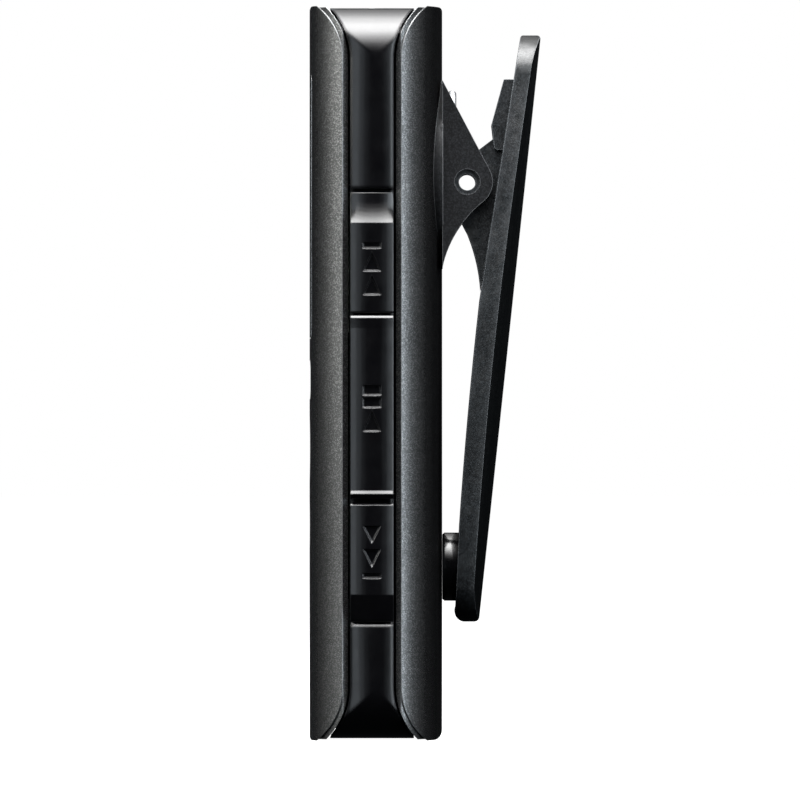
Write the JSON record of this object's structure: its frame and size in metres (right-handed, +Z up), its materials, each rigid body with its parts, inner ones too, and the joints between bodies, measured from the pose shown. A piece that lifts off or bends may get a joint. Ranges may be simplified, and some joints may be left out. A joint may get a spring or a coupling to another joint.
{
  "type": "pocket audio recorder",
  "caption": "Slim pocket recorder with side transport keys, front display and keys, top jacks and a sprung clip on the back.",
  "frame": {"origin": "centre of the USB socket's mouth, on the centre line of the case's bottom end", "axes": "+X towards the side with the transport keys, +Y out of the back towards the clip, +Z up the case"},
  "size_m": [0.0311, 0.029, 0.092],
  "materials": {
    "shell_paint": "satin",
    "gloss_black": "gloss",
    "black_plastic": "matte",
    "textured_black": "fine texture",
    "textured_arm": "fine texture",
    "window": "gloss",
    "display": "dark display",
    "white_plastic": "matte",
    "board": "solder mask",
    "chip": "matte",
    "tin": "bright tin",
    "soft_rubber": "matte",
    "cell_foil": "foil",
    "foam": "open weave",
    "screw_steel": "blackened",
    "spring_steel": "bright"
  },
  "bodies": {
    "case": {"front_shell": "shell_paint", "back_shell": "shell_paint", "centre_frame": "gloss_black", "display_window": "window", "display_module": "display", "display_carrier": "white_plastic", "main_board": "board", "processor_chip": "chip", "memory_chip": "chip", "shield_can": "tin", "side_key_board": "board", "side_key_switches": "tin", "side_key_membrane": "soft_rubber", "front_key_switches": "chip", "hold_switch": "chip", "battery_cell": "cell_foil", "battery_cradle": "white_plastic", "battery_pad": "foam", "headphone_jack": "black_plastic", "microphone_jack": "black_plastic", "usb_socket": "tin", "microphone_capsules": "tin", "microphone_boots": "soft_rubber", "microphone_meshes": "foam", "speaker": "black_plastic", "speaker_mesh": "foam", "case_screws": "screw_steel", "clip_bracket": "textured_black", "clip_screws": "screw_steel", "clip_spring": "spring_steel"},
    "clip_lever": {"clip_arm": "textured_arm", "clip_pad": "gloss_black"},
    "previous_button": {"key_previous": "gloss_black"},
    "play_button": {"key_play": "gloss_black"},
    "next_button": {"key_next": "gloss_black"},
    "menu_button": {"menu_key": "gloss_black"},
    "record_button": {"record_key": "gloss_black"},
    "stop_button": {"stop_key": "gloss_black"},
    "hold_button": {"hold_slider": "black_plastic"}
  },
  "joints": [
    {"name": "clip_hinge", "type": "hinge", "parent": "case", "child": "clip_lever", "pos_m": [0, 0.01149, 0.07004], "axis": [1, 0, 0], "range_deg": [0, 26], "stiffness_Nm_per_rad": 0.25, "springref_deg": -45.84, "deforming": ["clip_spring"]},
    {"name": "previous_press", "type": "slide", "parent": "case", "child": "previous_button", "axis": [-1, 0, 0], "range_m": [0, 0.00035], "stiffness_N_per_m": 1500, "springref_m": -0.0004},
    {"name": "play_press", "type": "slide", "parent": "case", "child": "play_button", "axis": [-1, 0, 0], "range_m": [0, 0.00035], "stiffness_N_per_m": 1500, "springref_m": -0.0004},
    {"name": "next_press", "type": "slide", "parent": "case", "child": "next_button", "axis": [-1, 0, 0], "range_m": [0, 0.00035], "stiffness_N_per_m": 1500, "springref_m": -0.0004},
    {"name": "menu_press", "type": "slide", "parent": "case", "child": "menu_button", "axis": [0, 1, 0], "range_m": [0, 0.0003], "stiffness_N_per_m": 1500, "springref_m": -0.0004},
    {"name": "record_press", "type": "slide", "parent": "case", "child": "record_button", "axis": [0, 1, 0], "range_m": [0, 0.0003], "stiffness_N_per_m": 1500, "springref_m": -0.0004},
    {"name": "stop_press", "type": "slide", "parent": "case", "child": "stop_button", "axis": [0, 1, 0], "range_m": [0, 0.0003], "stiffness_N_per_m": 1500, "springref_m": -0.0004},
    {"name": "hold_slide", "type": "slide", "parent": "case", "child": "hold_button", "axis": [0, 0, 1], "range_m": [0, 0.0026]}
  ]
}
